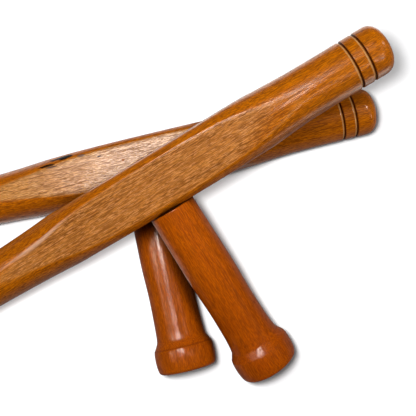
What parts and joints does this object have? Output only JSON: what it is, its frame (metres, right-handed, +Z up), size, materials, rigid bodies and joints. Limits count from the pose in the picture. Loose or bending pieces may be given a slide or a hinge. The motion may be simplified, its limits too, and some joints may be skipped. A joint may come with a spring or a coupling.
{
  "type": "pair of side-handle batons",
  "caption": "Crossed hardwood side-handle batons (tonfa): flatted, turned shafts with grooved rounded ends and turned knob grips wedged through them, one baton lying loose on the other.",
  "frame": {"origin": "the point under the lower baton where its grip's axis crosses its shaft's axis, on the floor (z = 0) and 0.56 mm below the shaft's underside flat", "axes": "+X along the lower shaft towards its ringed end, +Y away from the lower grip, +Z up, off the floor"},
  "size_m": [0.5068, 0.203, 0.0927],
  "materials": {
    "lower_shaft_wood": "clear gloss varnish over red-brown hardwood, open pores on the flats",
    "lower_grip_wood": "clear gloss varnish over deep red-brown hardwood",
    "upper_shaft_wood": "clear gloss varnish over orange-brown hardwood, open pores on the flats",
    "upper_grip_wood": "clear gloss varnish over deep orange-brown hardwood",
    "wedge_wood": "clear satin varnish over paler hardwood, end grain showing"
  },
  "bodies": {
    "lower_baton": {"lower_shaft": "lower_shaft_wood", "lower_grip": "lower_grip_wood", "lower_wedge": "wedge_wood"},
    "upper_baton": {"upper_shaft": "upper_shaft_wood", "upper_grip": "upper_grip_wood", "upper_wedge": "wedge_wood"}
  },
  "joints": [
    {"name": "upper_lift", "type": "slide", "parent": "lower_baton", "child": "upper_baton", "axis": [0, 0, 1], "range_m": [0, 0.12]}
  ]
}
